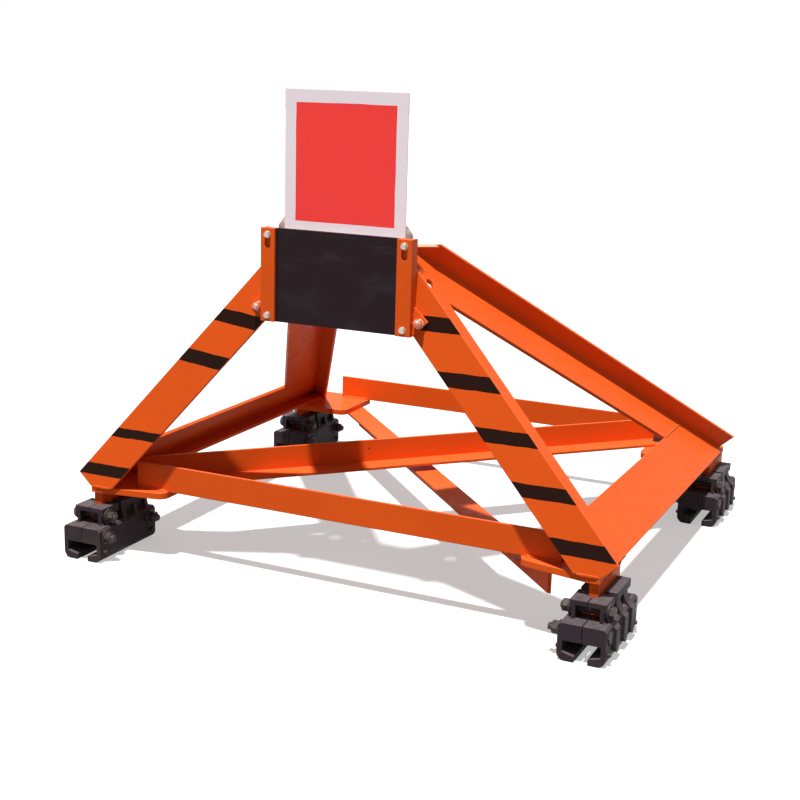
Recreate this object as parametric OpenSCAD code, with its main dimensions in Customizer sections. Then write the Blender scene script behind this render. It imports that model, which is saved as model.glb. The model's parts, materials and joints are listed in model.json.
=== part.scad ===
// Railway buffer stop: a welded A-frame of two leaning side frames, a striking head
// with a signal board, and four bolted clamps that grip the heads of the rails.
// Millimetres. +X to the right of the track, +Y away from the vehicle, +Z up.
// The origin is at ground level, midway between the four clamps.

/* [Track] */
// Distance between the inner faces of the two rail heads
gauge = 1435; // [1000:1:1676]
// Width of the rail head
rail_head_w = 70; // [55:1:80]

/* [Side frames] */
// Height of the crown above the foot plates
crown_z = 750; // [600:5:900]
// Distance of each leg's centre line from the middle at the crown
crown_x = 107; // [95:1:160]
// How far the legs lean back at the crown
crown_back = 75; // [20:1:120]
// Distance of the side frame's web outside the rail's centre line
web_set = 19.5; // [17:0.5:24]
// Thickness of the webs
web_t = 10; // [8:1:14]
// Distance of the legs' front face behind the front of the clamps
face_set = 72; // [50:1:95]

/* [Legs] */
// Width of the leg's front flange
leg_flange_w = 110; // [90:1:130]
// Thickness of the leg's front flange
leg_flange_t = 10; // [8:1:14]
// Depth of the leg from front to back
leg_depth = 170; // [140:1:200]
// Height of the lifting eye above the foot plates
eye_z = 652; // [620:1:680]
// Diameter of the lifting eye
eye_d = 30; // [20:1:36]

/* [Chords] */
// Width of the chord's web, up the slope
chord_w = 155; // [120:1:190]
// Width of the chord's bottom flange
chord_flange_w = 73; // [60:1:85]
// Thickness of the chord's bottom flange
chord_flange_t = 10; // [8:1:14]

/* [Stays] */
// Distance of the stay's lower tip behind the front of the rear clamp
tip_set = 206; // [110:1:228]
// Height of the stay's lower tip above the foot plates
tip_rise = 8; // [4:1:16]
// Distance of the stay's upper end behind the legs' front face at the foot
stay_back = 222; // [205:1:240]
// Depth of the stay's web
stay_depth = 145; // [110:1:170]
// Width of the stay's flange
stay_flange_w = 120; // [90:1:125]
// Thickness of the stay's flange
stay_flange_t = 10; // [8:1:14]

/* [Feet] */
// Thickness of the foot plates
plate_t = 18; // [12:1:24]
// Length of the foot plates along the track
plate_len = 232; // [205:1:240]
// Overhang of the foot plate outside the rail's centre line
plate_out = 16.5; // [13:0.5:18]
// Reach of the foot plate inside the rail's centre line
plate_in = 211.5; // [190:0.5:230]
// How far the front plate's inner corner is cut back
plate_taper = 35; // [0:1:50]
// Radius of the foot plate's inner corners
plate_r = 30; // [10:1:34]
// Thickness of the upright tee bar
bar_t = 25; // [16:1:30]
// Length of the tee bar
bar_len = 190; // [150:1:195]
// Gap between the clamp's top and the foot plate
bar_rise = 35; // [20:1:50]
// Width of the tee bar's foot
tee_w = 60; // [45:1:62]
// Height of the tee bar's foot
tee_h = 34; // [28:1:36]

/* [Clamps] */
// Distance between the centres of the front and rear clamps
clamp_pitch = 1213; // [1180:1:1300]
// Length of a clamp
clamp_len = 275; // [260:1:300]
// Half width of the clamp's lower block
jaw_hw = 63; // [60:0.5:70]
// Height of the clamp's shoulder
jaw_h = 100; // [94:1:112]
// Radius of the block's lower edge
jaw_r = 22; // [10:1:24]
// Bevel along the shoulder
jaw_bevel = 7; // [3:1:9]
// Width of the slot for the rail head
slot_w = 101; // [84:1:106]
// Height of the rail slot's roof
slot_top = 54; // [46:1:58]
// Thickness of the lip under the rail head
lip_t = 16; // [10:1:20]
// Rise of the lip from its edge to the slot's wall
lip_rise = 8; // [4:1:10]
// Gap between the lips, for the rail's web
lip_gap = 36; // [24:1:44]
// Split between the two jaws
split = 3; // [1:0.5:5]
// Half width of the cap above the tee slot
cap_hw = 47.5; // [45:0.5:50]
// Thickness of the cap above the tee slot
cap_t = 14; // [10:1:18]
// Width of the tee slot
window_w = 65; // [63:0.5:67]
// Height of the tee slot
window_h = 37; // [36.5:0.5:40]
// Half width of the waist under the cap
waist_hw = 41; // [38:0.5:43]
// Radius of the hollow between waist and shoulder
waist_r = 10; // [4:1:12]
// Distance of the front lug behind the clamp's front
lug_set = 36; // [28:1:37]
// Length of the front lug
lug_front = 76; // [70:1:84]
// Length of the rear lug
lug_rear = 125; // [100:1:130]
// Gap between the two lugs
lug_gap = 15; // [8:1:20]
// Width of the stiffening ribs on the inner flank
rib_w = 14; // [8:1:18]
// Width of the pads on the outer flank
pad_w = 30; // [22:1:32]
// Thickness of the pads on the outer flank
pad_t = 10; // [6:1:14]
// Depth of the pockets for the bolt heads
pocket_t = 9; // [6:1:10]

/* [Clamp bolts] */
// Diameter of the clamp bolts
bolt_d = 24; // [16:1:25]
// Width across the flats of heads and nuts
bolt_flats = 36; // [30:1:38]
// Thickness of the bolt head
head_t = 15; // [10:1:20]
// Thickness of the nut
nut_t = 22; // [14:1:26]
// Length of bolt past the nut
bolt_tail = 12; // [4:1:20]
// Diameter of the washers
washer_d = 44; // [40:1:46]
// Thickness of the washers
washer_t = 4; // [2:0.5:6]
// Distance of the lower bolts from the clamp's ends
bolt_inset = 28; // [25:1:32]

/* [Ties and braces] */
// Height of the cross ties
tie_h = 77; // [60:1:90]
// Width of the cross ties' lower leaf
tie_leaf = 40; // [30:1:44]
// Distance of the tie's end inside the rail's centre line
tie_in = 104; // [96:1:130]
// Distance of the front tie behind the legs' front face at the foot
tie_set = 60; // [45:1:64]
// Distance of the rear tie behind the stay's lower tip
rear_tie_set = 15; // [12:1:15]
// Size of the braces' angle section
angle_w = 75; // [60:1:80]
// Thickness of all angle sections
angle_t = 8; // [6:1:10]

/* [Head] */
// Width of the striking head
head_w = 440; // [420:1:480]
// Height of the striking head
head_h = 250; // [235:1:270]
// Height of the head's lower edge above the foot plates
head_z = 541; // [535:1:560]
// Distance of the head's front behind the legs' front face at the foot
head_set = 30; // [20:1:31]
// Width of the strips that hold the striking plate
strip_w = 42; // [38:1:50]
// Thickness of the strips and of the head's sides
strip_t = 8; // [6:1:8]
// Depth of the head's sides
cheek_d = 34; // [34:1:50]
// Thickness of the striking plate
strike_t = 14; // [10:1:14]
// Width of the ears at the foot of the head's sides
ear_w = 40; // [30:1:50]
// Height of the ears
ear_h = 76; // [60:1:90]
// Length of the adjusting slots in the strips
adjust_l = 28; // [18:1:34]
// Width of the adjusting slots
adjust_w = 17; // [12:1:20]

/* [Signal board] */
// Width of the signal board
board_w = 354; // [300:1:360]
// Height of the signal board
board_h = 372; // [300:1:420]
// Thickness of the signal board
board_t = 3; // [2:0.5:4]
// Distance of the board's front behind the striking plate
board_set = 29; // [26:1:34]
// Width of the board's bracket
bracket_w = 394; // [372:1:400]
// Height of each upright leaf of the bracket
bracket_leaf = 40; // [34:1:42]
// Thickness of the bracket
bracket_t = 5; // [4:0.5:6]
// Depth of the bracket's shelf below the top of the head
bracket_drop = 13; // [10:1:18]

/* [Hidden] */
$fn = 64;

// Colours
paint = "OrangeRed";
iron = "DimGray";
zinc = "Silver";
dark = "Black";
white = "White";

// One overrun for every cut
over = 1;

// Places along the track and up
rail_x = (gauge + rail_head_w) / 2;
clamp_front = -(clamp_pitch + clamp_len) / 2;
face_y = clamp_front + face_set;
cap_z = jaw_h + window_h;
clamp_top = cap_z + cap_t;
plate_z = clamp_top + bar_rise;
foot_top = plate_z + plate_t;

// The tee bar starts behind the upper bolt
bar_gap = 6;
bar_clear = 1;
bore_clear = 1;
upper_bolt_y = lug_set + lug_front / 2 - bolt_d / 2;
bar_start = upper_bolt_y + bolt_d / 2 + bore_clear + bar_gap;
rear_y = clamp_pitch;
pad_gap = 4;

// Side frame: u runs back from the legs' front face, v up the slope, n out of the web
web_x = rail_x + web_set;
tip_back = clamp_pitch - face_set + tip_set;
lean = atan2(web_x - crown_x, crown_z);
back_lean = atan2(crown_back, crown_z);
back_slope = crown_back * cos(lean) / crown_z;
crown_v = crown_z / cos(lean);
tip_v = tip_rise / cos(lean);
stay_run = (stay_back - tip_back) / (crown_v - tip_v);
stay_skew = sqrt(1 + stay_run * stay_run);
web_shift = stay_depth * stay_skew;
flange_shift = stay_flange_t * stay_skew;
crest_v = (tip_back - stay_run * tip_v - leg_depth) / (back_slope - stay_run);
crotch_v = (tip_back - stay_run * tip_v - web_shift - leg_depth) / (back_slope - stay_run);
half_skew = tan(lean) / 2;
frame_span = 2 * (web_x + leg_flange_w);

// Head
head_y = face_y + head_set;
strike_y = head_y + strip_t;
strike_back = strike_y + strike_t;
head_base = foot_top + head_z;
head_top = head_base + head_h;
shelf_z = head_top - bracket_drop;
board_y = strike_back + board_set;
packer_w = 44;
packer_z = head_base + packer_w;
packer_top = shelf_z - bracket_leaf - over;
head_hole_d = 14;
head_hole_in = 17;
bracket_cut = 18;

// Ties and braces
front_tie_y = face_y + tie_set;
rear_tie_y = face_y + tip_back + rear_tie_set;
tie_x = rail_x - tie_in;
brace_gap = 7;
upper_brace_in = 88.5;
lower_brace_in = 130.5;
lower_brace_set = 10;
lower_end_in = 201.5;
lower_end_set = 32;
upper_start = [-(rail_x - upper_brace_in), front_tie_y + tie_leaf + brace_gap];
upper_end = [rail_x - plate_in, rear_tie_y - brace_gap];
lower_start = [rail_x - lower_brace_in, front_tie_y + lower_brace_set];
lower_end = [-(rail_x - lower_end_in), rear_tie_y - lower_end_set];

function stay_u(v) = tip_back + (v - tip_v) * stay_run;
function rear_u(v) = leg_depth + back_slope * v;
function front_u(v) = back_slope * v;

// Puts a drawing of the side frame into its leaning plane, on the right
module side_plane() {
    translate([web_x, face_y, foot_top])
        rotate([0, -lean, 0])
            rotate([90, 0, 90])
                children();
}

// A plate of the side frame, drawn in u and v and centred on the web
module side_strip(width, points) {
    side_plane()
        linear_extrude(width, center = true)
            polygon(points);
}

// Keeps what stands between the foot plates and the crown
module between_levels() {
    difference() {
        children();
        translate([-frame_span / 2, face_y - tip_back, foot_top - crown_z])
            cube([frame_span, 3 * tip_back, crown_z]);
        translate([-frame_span / 2, face_y - tip_back, foot_top + crown_z])
            cube([frame_span, 3 * tip_back, crown_z]);
    }
}

module mirror_to(side) {
    if (side < 0) mirror([1, 0, 0]) children();
    else children();
}

// Tee leg: a leaning front flange and a web behind it
module leg(side) {
    lean_run = (web_x - crown_x) / crown_z * cos(back_lean);
    half_w = leg_flange_w / cos(lean) / 2;
    top_w = crown_z / cos(back_lean) + over;
    corner_w = half_w * sin(lean) * cos(lean);
    top_v = crown_v + web_t * half_skew + over;
    color(paint)
    mirror_to(side)
    between_levels() {
        translate([0, face_y, foot_top])
            rotate([90 - back_lean, 0, 0])
                translate([0, 0, -leg_flange_t])
                    linear_extrude(leg_flange_t)
                        polygon([
                            [web_x - half_w + lean_run * leg_flange_t, -leg_flange_t],
                            [web_x - half_w * sin(lean) * sin(lean) * sin(lean), -leg_flange_t],
                            [web_x, 0],
                            [web_x + half_w - lean_run * corner_w, corner_w],
                            [web_x + half_w - lean_run * top_w, top_w],
                            [web_x - half_w - lean_run * top_w, top_w]
                        ]);
        difference() {
            side_strip(web_t, [
                [front_u(-web_t) + leg_flange_t / 2, -web_t],
                [rear_u(-web_t), -web_t],
                [rear_u(crest_v), crest_v],
                [stay_u(top_v), top_v],
                [front_u(top_v) + leg_flange_t / 2, top_v]
            ]);
            side_plane()
                translate([rear_u(eye_z / cos(lean)) - eye_d, eye_z / cos(lean), 0])
                    cylinder(h = web_t + 2 * over, d = eye_d, center = true);
        }
    }
}

// Bottom chord: a leaning web with a flange that lies on the foot plates
module chord(side) {
    color(paint)
    mirror_to(side)
    between_levels() {
        side_strip(web_t, [
            [rear_u(-web_t), -web_t],
            [tip_back, -web_t],
            [tip_back, tip_v],
            [stay_u(chord_w), chord_w],
            [rear_u(chord_w), chord_w]
        ]);
        difference() {
            translate([0, face_y + tip_back, foot_top])
                rotate([90, 0, 0])
                    linear_extrude(tip_back - rear_u(chord_flange_t + web_t))
                        polygon([
                            [web_x - chord_flange_w, 0],
                            [web_x, 0],
                            [web_x - chord_flange_t * tan(lean), chord_flange_t],
                            [web_x - chord_flange_w, chord_flange_t]
                        ]);
            side_strip(2 * chord_w, [
                [stay_u(-chord_w), -chord_w],
                [stay_u(-chord_w) + tip_back, -chord_w],
                [stay_u(chord_w) + tip_back, chord_w],
                [stay_u(chord_w), chord_w]
            ]);
        }
    }
}

// Back stay: a tee with its flange outside the triangle
module stay(side) {
    top_v = crown_v + stay_flange_w * half_skew + over;
    color(paint)
    mirror_to(side)
    between_levels() {
        side_strip(web_t, [
            [stay_u(chord_w) - web_shift, chord_w],
            [stay_u(chord_w) + flange_shift / 2, chord_w],
            [stay_u(crest_v) + flange_shift / 2, crest_v],
            [rear_u(crest_v), crest_v],
            [rear_u(crotch_v), crotch_v]
        ]);
        side_strip(stay_flange_w, [
            [stay_u(tip_v), tip_v],
            [stay_u(tip_v) + flange_shift, tip_v],
            [stay_u(top_v) + flange_shift, top_v],
            [stay_u(top_v), top_v]
        ]);
    }
}

// Foot plates with round inner corners: the front ones are cut back towards the middle
module foot_plate(side, y0, taper) {
    run = plate_in - plate_out;
    slant = norm([run, taper]);
    round_x = plate_r - plate_in;
    front_y = (taper * (run - plate_r) + plate_r * slant) / run;
    color(paint)
    mirror_to(side)
    translate([rail_x, y0, plate_z])
        linear_extrude(plate_t) {
            polygon([
                [plate_out, 0],
                [plate_out, plate_len],
                [round_x, plate_len],
                [-plate_in, plate_len - plate_r],
                [-plate_in, front_y],
                [round_x - plate_r * taper / slant, front_y - plate_r * run / slant],
                [-plate_out, 0]
            ]);
            for (y = [front_y, plate_len - plate_r])
                translate([round_x, y])
                    circle(plate_r);
        }
}

module front_plate(side) {
    foot_plate(side, face_y, plate_taper);
}

module rear_plate(side) {
    foot_plate(side, rear_tie_y + tie_leaf - plate_len, 0);
}

// Upright tee bar under a foot plate, its foot held in the clamp
module tee_bar(side, y0) {
    color(paint)
    mirror_to(side)
    translate([rail_x, y0 + bar_len, jaw_h])
        rotate([90, 0, 0])
            linear_extrude(bar_len) {
                translate([-tee_w / 2, 0])
                    square([tee_w, tee_h]);
                translate([-bar_t / 2, 0])
                    square([bar_t, plate_z - jaw_h]);
            }
}

// Half of a clamp's lower block, with the rail slot and the lip
module block_profile() {
    inner = split / 2;
    difference() {
        union() {
            translate([inner, jaw_r])
                square([jaw_hw - inner, jaw_h - jaw_r]);
            translate([inner, 0])
                square([jaw_hw - jaw_r - inner, jaw_r]);
            translate([jaw_hw - jaw_r, jaw_r])
                circle(jaw_r);
        }
        polygon([
            [0, lip_t],
            [lip_gap / 2, lip_t],
            [slot_w / 2, lip_t + lip_rise],
            [slot_w / 2, slot_top],
            [0, slot_top]
        ]);
        translate([0, -over])
            square([lip_gap / 2, lip_t + 2 * over]);
        polygon([
            [jaw_hw + over, jaw_h - jaw_bevel - over],
            [jaw_hw + over, jaw_h + over],
            [jaw_hw - jaw_bevel - over, jaw_h + over]
        ]);
    }
}

// Half of a lug: waist and cap around the tee slot, with the cap open over half_gap
module lug_profile(half_gap) {
    difference() {
        union() {
            translate([0, jaw_h])
                square([waist_hw, clamp_top - jaw_h]);
            translate([0, cap_z - waist_hw + window_w / 2])
                square([cap_hw, clamp_top - cap_z + waist_hw - window_w / 2]);
            difference() {
                translate([0, jaw_h])
                    square([waist_hw + waist_r, waist_r]);
                translate([waist_hw + waist_r, jaw_h + waist_r])
                    circle(waist_r);
            }
        }
        translate([0, jaw_h - over])
            square([window_w / 2, window_h + over]);
        translate([0, jaw_h])
            square([half_gap, clamp_top]);
    }
}

// Places of the clamp's bolts: distance from its front, height, inner and outer seat
upper_bolt_z = jaw_h + washer_d / 2 + over;
lower_bolt_z = (slot_top + jaw_h - jaw_bevel) / 2;
boss_hw = cap_hw + washer_t;
bolt_spots = [
    [bolt_inset, lower_bolt_z, jaw_hw, jaw_hw - pocket_t],
    [clamp_len - bolt_inset, lower_bolt_z, jaw_hw, jaw_hw - pocket_t],
    [upper_bolt_y, upper_bolt_z, boss_hw, boss_hw]
];

// Pads of the outer flank: their hollow sweeps from the cap out to the shoulder
pocket_d = (bolt_flats + 2 * bore_clear) / cos(30);
pad_low = jaw_r;
pad_from = [cap_hw, cap_z];
pad_to = [jaw_hw + pad_t, jaw_h - jaw_bevel];
pad_r = norm(pad_to - pad_from);
pad_mid = (pad_from + pad_to) / 2 + [pad_from[1] - pad_to[1], pad_to[0] - pad_from[0]] * cos(30);
rear_lug = lug_set + lug_front + lug_gap;
front_pad = bolt_inset + pocket_d / 2 + pad_gap;
rear_pad = clamp_len - bolt_inset - pocket_d / 2 - pad_gap - pad_w;

module along_clamp(y0, len) {
    translate([0, y0 + len, 0])
        rotate([90, 0, 0])
            linear_extrude(len)
                children();
}

// A pad of the outer flank with a round foot, cut to the profile that is its child
module pad(y0) {
    intersection() {
        translate([waist_hw - over, y0, pad_low])
            rotate([90, 0, 90])
                linear_extrude(jaw_hw + pad_t - waist_hw + 2 * over) {
                    translate([0, pad_w / 2])
                        square([pad_w, cap_z - pad_low - pad_w / 2]);
                    translate([pad_w / 2, pad_w / 2])
                        circle(d = pad_w);
                }
        along_clamp(y0 - over, pad_w + 2 * over)
            children();
    }
}

// Pad up to the shoulder
module low_pad_profile() {
    polygon([
        [jaw_hw - jaw_bevel, 0],
        [pad_to[0], 0],
        [pad_to[0], pad_to[1] - jaw_bevel],
        [jaw_hw, pad_to[1]],
        [jaw_hw - jaw_bevel, pad_to[1]]
    ]);
}

// Pad up to the cap, hollow above the shoulder
module high_pad_profile() {
    difference() {
        polygon([
            [waist_hw - over, pad_to[1]],
            [jaw_hw - jaw_bevel, pad_to[1]],
            [jaw_hw - jaw_bevel, 0],
            [pad_to[0], 0],
            pad_to,
            pad_from,
            [waist_hw - over, cap_z]
        ]);
        translate(pad_mid)
            circle(pad_r);
    }
}

// What the outer jaw has on its flank
module outer_flank() {
    pad(front_pad)
        low_pad_profile();
    pad(rear_lug)
        high_pad_profile();
    pad(rear_pad)
        high_pad_profile();
}

// What the inner jaw has on its flank
module inner_flank() {
    for (y = [rear_lug, rear_lug + (lug_rear - rib_w) / 2, rear_lug + lug_rear - rib_w])
        along_clamp(y, rib_w)
            polygon([
                [waist_hw - over, jaw_h - jaw_bevel],
                [jaw_hw - jaw_bevel, jaw_h - jaw_bevel],
                [jaw_hw - jaw_bevel, jaw_h],
                [cap_hw, cap_z],
                [waist_hw - over, cap_z]
            ]);
}

// One jaw of a clamp, drawn to the right of the rail's centre line
module half_clamp(outer) {
    wide_gap = bar_t / 2 + bar_clear;
    difference() {
        union() {
            along_clamp(0, clamp_len)
                block_profile();
            along_clamp(lug_set, bar_start - bar_gap - lug_set)
                lug_profile(split / 2);
            along_clamp(lug_set, lug_front)
                lug_profile(wide_gap);
            along_clamp(rear_lug, lug_rear)
                lug_profile(wide_gap);
            translate([waist_hw - over, upper_bolt_y, upper_bolt_z])
                rotate([0, 90, 0])
                    cylinder(h = boss_hw - waist_hw + over, d = washer_d);
            if (outer > 0) outer_flank();
            else inner_flank();
        }
        for (spot = bolt_spots)
            translate([-over, spot[0], spot[1]])
                rotate([0, 90, 0])
                    cylinder(h = jaw_hw + 2 * over, d = bolt_d + 2 * bore_clear);
        if (outer > 0)
            for (spot = bolt_spots)
                translate([spot[3], spot[0], spot[1]])
                    rotate([0, 90, 0])
                        rotate([0, 0, 30])
                            cylinder(h = jaw_hw, d = pocket_d, $fn = 6);
    }
}

module jaw(side, y0, outer) {
    color(iron)
    mirror_to(side)
    translate([rail_x, clamp_front + y0, 0])
        mirror_to(outer)
            half_clamp(outer);
}

// Bolt along X with its head outside the track and its nut inside
module clamp_bolt(inner_seat, outer_seat) {
    nut_seat = inner_seat + washer_t;
    end = nut_seat + nut_t + bolt_tail;
    rotate([0, 90, 0]) {
        translate([0, 0, -end])
            cylinder(h = end + outer_seat + over, d = bolt_d);
        translate([0, 0, -nut_seat])
            cylinder(h = washer_t, d = washer_d);
        rotate([0, 0, 30]) {
            translate([0, 0, outer_seat])
                cylinder(h = head_t, d = bolt_flats / cos(30), $fn = 6);
            translate([0, 0, -nut_seat - nut_t])
                cylinder(h = nut_t, d = bolt_flats / cos(30), $fn = 6);
        }
    }
}

module bolts(side, y0) {
    color(zinc)
    mirror_to(side)
    for (spot = bolt_spots)
        translate([rail_x, clamp_front + y0 + spot[0], spot[1]])
            clamp_bolt(spot[2], spot[3]);
}

// Cross tie: an angle on its lower leaf, which points away from the vehicle
module tie(y0) {
    color(paint)
    translate([-tie_x, y0, foot_top])
        rotate([90, 0, 90])
            linear_extrude(2 * tie_x) {
                square([angle_t, tie_h]);
                square([tie_leaf, angle_t]);
            }
}

// Plan of a strip beside the line from a to b, with both ends cut along X
module mitred(a, b, width) {
    shift = width * norm(b - a) / abs(b[1] - a[1]);
    polygon([a, b, [b[0] + shift, b[1]], [a[0] + shift, a[1]]]);
}

// Upper brace: lies on the foot plates, upright leaf on the rear left
module upper_brace() {
    color(paint)
    translate([0, 0, foot_top]) {
        linear_extrude(tie_h)
            mitred(upper_start, upper_end, angle_t);
        linear_extrude(angle_t)
            mitred(upper_start, upper_end, angle_w);
    }
}

// Lower brace: hangs under the foot plates, upright leaf down on the rear right
module lower_brace() {
    color(paint)
    translate([0, 0, plate_z]) {
        translate([0, 0, -angle_w])
            linear_extrude(angle_w)
                mitred(lower_start, lower_end, -angle_t);
        translate([0, 0, -angle_t])
            linear_extrude(angle_t)
                mitred(lower_start, lower_end, -angle_w);
    }
}

// Keeps what lies in front of the leaning plane of the legs
module before_legs() {
    difference() {
        children();
        translate([0, face_y, foot_top])
            rotate([90 - back_lean, 0, 0])
                translate([-head_w, 0, -head_w])
                    cube([2 * head_w, 2 * crown_z, head_w]);
    }
}

// Ear at the foot of the head's side, flat on the leg's front
module ear() {
    foot_w = head_z / cos(back_lean);
    translate([head_w / 2 - strip_t, face_y, foot_top])
        rotate([90 - back_lean, 0, 0])
            translate([0, foot_w, 0])
                linear_extrude(strip_t)
                    polygon([
                        [0, 0],
                        [strip_t, 0],
                        [strip_t + ear_w, ear_w],
                        [strip_t, ear_h],
                        [0, ear_h]
                    ]);
}

// Side of the head: a strip in front of the striking plate and a web back to the leg
module cheek(side) {
    hole_x = head_w / 2 - strip_w / 2;
    color(paint)
    mirror_to(side)
    difference() {
        union() {
            before_legs()
                translate([0, 0, head_base])
                    linear_extrude(head_h)
                        polygon([
                            [head_w / 2, head_y],
                            [head_w / 2, head_y + cheek_d],
                            [head_w / 2 - strip_t, head_y + cheek_d],
                            [head_w / 2 - strip_t, strike_y],
                            [head_w / 2 - strip_w, strike_y],
                            [head_w / 2 - strip_w, head_y]
                        ]);
            ear();
        }
        for (z = [head_base + head_hole_in, head_top - head_hole_in])
            translate([hole_x, head_y - over, z])
                rotate([-90, 0, 0])
                    cylinder(h = strip_t + 2 * over, d = head_hole_d);
        translate([hole_x, head_y - over, head_top - head_hole_in - adjust_l])
            rotate([-90, 0, 0])
                cylinder(h = strip_t + 2 * over, d = adjust_w);
        translate([hole_x - adjust_w / 2, head_y - over, head_top - head_hole_in - adjust_l])
            cube([adjust_w, strip_t + 2 * over, adjust_l]);
    }
}

// Striking plate between the head's sides
module strike_plate() {
    color(dark)
    translate([-head_w / 2 + strip_t, strike_y, head_base])
        cube([head_w - 2 * strip_t, strike_t, head_h]);
}

// Wedge between the striking plate and the leaning leg
module packer(side) {
    color(paint)
    mirror_to(side)
    before_legs()
        translate([head_w / 2 - strip_w - packer_w, strike_back, packer_z])
            cube([packer_w, board_set, packer_top - packer_z]);
}

// Bracket behind the head: a lower leaf on the plate, a shelf and an upper leaf
module sign_bracket() {
    reach = board_set + board_t;
    color(zinc)
    translate([0, strike_back, shelf_z]) {
        translate([-bracket_w / 2, 0, -bracket_leaf])
            cube([bracket_w, bracket_t, bracket_leaf]);
        translate([-bracket_w / 2, 0, -bracket_t])
            cube([bracket_w, reach + bracket_t, bracket_t]);
        translate([0, reach + bracket_t, -bracket_t])
            rotate([90, 0, 0])
                linear_extrude(bracket_t)
                    polygon([
                        [-bracket_w / 2, 0],
                        [bracket_w / 2, 0],
                        [bracket_w / 2, bracket_leaf - bracket_cut],
                        [bracket_w / 2 - bracket_cut, bracket_leaf + bracket_t],
                        [-bracket_w / 2 + bracket_cut, bracket_leaf + bracket_t],
                        [-bracket_w / 2, bracket_leaf - bracket_cut]
                    ]);
    }
}

// Signal board, standing on the bracket's shelf
module sign_board() {
    color(white)
    translate([-board_w / 2, board_y, shelf_z])
        cube([board_w, board_t, board_h]);
}

leg(-1);  // left_leg
leg(1);  // right_leg
chord(-1);  // left_chord
chord(1);  // right_chord
stay(-1);  // left_stay
stay(1);  // right_stay
front_plate(-1);  // front_left_plate
front_plate(1);  // front_right_plate
rear_plate(-1);  // rear_left_plate
rear_plate(1);  // rear_right_plate
tee_bar(-1, clamp_front + bar_start);  // front_left_tee
tee_bar(1, clamp_front + bar_start);  // front_right_tee
tee_bar(-1, clamp_front + rear_y + bar_start);  // rear_left_tee
tee_bar(1, clamp_front + rear_y + bar_start);  // rear_right_tee
jaw(-1, 0, 1);  // front_left_outer_jaw
jaw(-1, 0, -1);  // front_left_inner_jaw
jaw(1, 0, 1);  // front_right_outer_jaw
jaw(1, 0, -1);  // front_right_inner_jaw
jaw(-1, rear_y, 1);  // rear_left_outer_jaw
jaw(-1, rear_y, -1);  // rear_left_inner_jaw
jaw(1, rear_y, 1);  // rear_right_outer_jaw
jaw(1, rear_y, -1);  // rear_right_inner_jaw
bolts(-1, 0);  // front_left_bolts
bolts(1, 0);  // front_right_bolts
bolts(-1, rear_y);  // rear_left_bolts
bolts(1, rear_y);  // rear_right_bolts
tie(front_tie_y);  // front_tie
tie(rear_tie_y);  // rear_tie
upper_brace();
lower_brace();
cheek(-1);  // left_cheek
cheek(1);  // right_cheek
strike_plate();
packer(-1);  // left_packer
packer(1);  // right_packer
sign_bracket();
sign_board();
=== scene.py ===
"""Looks of a railway buffer stop: paint, castings, bolts, weld beads and a studio stage."""

import json
import math

import bpy
import numpy as np
from mathutils import Matrix, Vector


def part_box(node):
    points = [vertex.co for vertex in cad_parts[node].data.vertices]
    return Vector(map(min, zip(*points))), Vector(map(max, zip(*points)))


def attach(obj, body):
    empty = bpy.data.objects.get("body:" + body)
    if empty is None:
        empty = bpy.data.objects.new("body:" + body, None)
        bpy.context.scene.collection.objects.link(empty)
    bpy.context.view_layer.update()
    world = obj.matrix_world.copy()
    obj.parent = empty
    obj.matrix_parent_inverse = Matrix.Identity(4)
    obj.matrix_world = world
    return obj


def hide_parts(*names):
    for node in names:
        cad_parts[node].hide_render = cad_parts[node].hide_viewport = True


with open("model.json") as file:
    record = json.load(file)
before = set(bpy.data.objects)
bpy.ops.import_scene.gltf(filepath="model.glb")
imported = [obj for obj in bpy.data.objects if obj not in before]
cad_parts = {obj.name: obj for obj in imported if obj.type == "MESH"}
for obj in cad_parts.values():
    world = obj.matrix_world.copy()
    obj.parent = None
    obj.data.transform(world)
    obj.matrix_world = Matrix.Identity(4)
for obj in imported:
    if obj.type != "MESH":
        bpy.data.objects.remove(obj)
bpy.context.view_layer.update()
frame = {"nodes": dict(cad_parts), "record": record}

bl_info = {
    "name": "Buffer Stop Looks",
    "version": (1, 0, 0),
    "blender": (4, 5, 0),
    "location": "View3D > Sidebar > Buffer Stop",
    "description": "Paints and details a clamped railway buffer stop",
    "category": "Object",
}

MM = 0.001
SIDES = (-1.0, 1.0)
# The way that each clamp's outer side looks
CORNERS = {
    "front_left": -1.0,
    "front_right": 1.0,
    "rear_left": -1.0,
    "rear_right": 1.0,
}
# The side frames lean inward by this angle, and their webs would meet the ground this far out
WEB_LEAN = math.radians(41.562)
WEB_RUN = math.tan(WEB_LEAN)
WEB_AT_GROUND = 952.9 * MM
# The legs' front leans back by a tenth of its height
FRONT_LEAN = 0.1
WHITE = (1.0, 1.0, 1.0, 1.0)
BLACK = (0.0, 0.0, 0.0, 1.0)
UP = np.array([0.0, 0.0, 1.0])


def linear(code):
    """sRGB hex code to linear red, green, blue and a full alpha."""
    parts = np.array([int(code[i : i + 2], 16) for i in (1, 3, 5)]) / 255.0
    low = parts / 12.92
    high = ((parts + 0.055) / 1.055) ** 2.4
    return tuple(np.where(parts <= 0.04045, low, high)) + (1.0,)


def dimmed(colour, share):
    """A linear colour times share, no channel past 1, with a full alpha."""
    return tuple(min(1.0, share * channel) for channel in colour[:3]) + (1.0,)


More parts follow.
